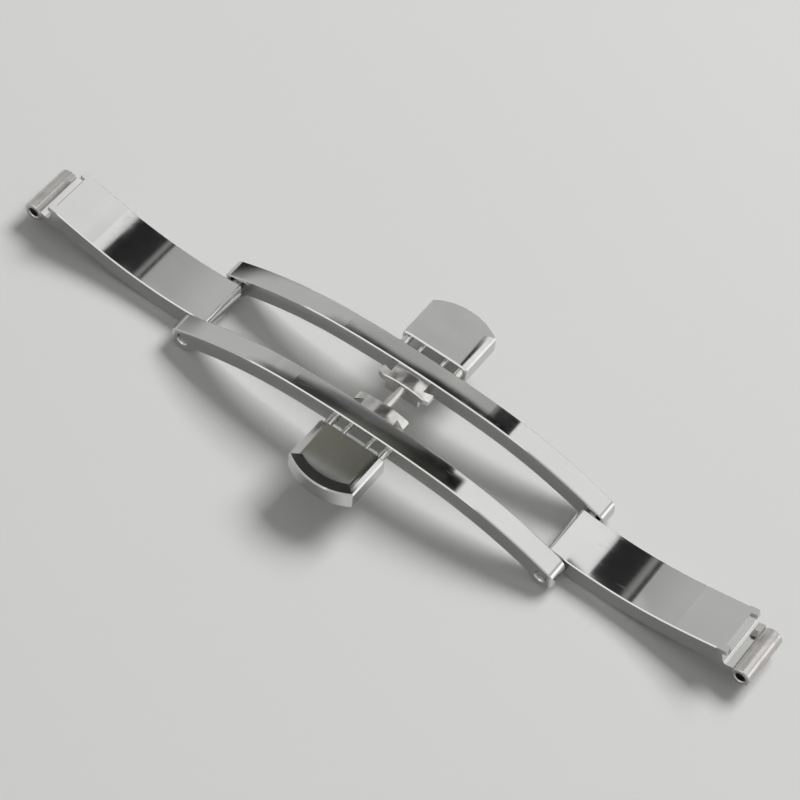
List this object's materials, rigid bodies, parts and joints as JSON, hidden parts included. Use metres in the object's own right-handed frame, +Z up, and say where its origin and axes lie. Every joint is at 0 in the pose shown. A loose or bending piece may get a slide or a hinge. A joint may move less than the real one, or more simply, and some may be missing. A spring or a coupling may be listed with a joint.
{
  "type": "double-fold butterfly watch clasp",
  "caption": "Double-fold butterfly clasp for a metal watch bracelet, shown open: arched side rails, folding wings with link tubes, push buttons, spring-loaded latch blocks.",
  "frame": {"origin": "on the surface that the open clasp lies on, under the middle of the clasp", "axes": "+X along the side rails towards the right wing, +Y across the clasp towards the far push button, +Z up out of the convex side"},
  "size_m": [0.0722, 0.0214, 0.0052],
  "materials": {
    "rail_steel": "mirror polished",
    "wing_steel": "mirror polished",
    "button_steel": "mirror polished",
    "latch_steel": "polished",
    "pin_steel": "ground and polished",
    "spring_steel": "drawn wire"
  },
  "bodies": {
    "frame": {"near_rail": "rail_steel", "far_rail": "rail_steel", "left_hinge_pin": "pin_steel", "right_hinge_pin": "pin_steel", "guide_sleeve": "pin_steel", "return_spring": "spring_steel"},
    "left_wing": {"left_wing": "wing_steel", "left_link_tube": "wing_steel"},
    "right_wing": {"right_wing": "wing_steel", "right_link_tube": "wing_steel"},
    "near_button": {"near_button": "button_steel", "near_left_post": "pin_steel", "near_right_post": "pin_steel", "near_left_guide_pin": "pin_steel", "near_right_guide_pin": "pin_steel", "near_latch_block": "latch_steel"},
    "far_button": {"far_button": "button_steel", "far_left_post": "pin_steel", "far_right_post": "pin_steel", "far_left_guide_pin": "pin_steel", "far_right_guide_pin": "pin_steel", "far_latch_block": "latch_steel"}
  },
  "joints": [
    {"name": "left_wing_hinge", "type": "hinge", "parent": "frame", "child": "left_wing", "pos_m": [-0.01785, 0, 0.00124], "axis": [0, 1, 0], "range_deg": [0, 162.99]},
    {"name": "right_wing_hinge", "type": "hinge", "parent": "frame", "child": "right_wing", "pos_m": [0.01785, 0, 0.00124], "axis": [0, -1, 0], "range_deg": [0, 162.99]},
    {"name": "near_button_slide", "type": "slide", "parent": "frame", "child": "near_button", "axis": [0, 1, 0], "range_m": [0, 0.0009], "stiffness_N_per_m": 400, "springref_m": -0.001, "deforming": ["return_spring"]},
    {"name": "far_button_slide", "type": "slide", "parent": "frame", "child": "far_button", "axis": [0, -1, 0], "range_m": [0, 0.0009], "stiffness_N_per_m": 400, "springref_m": -0.001, "deforming": ["return_spring"]}
  ]
}
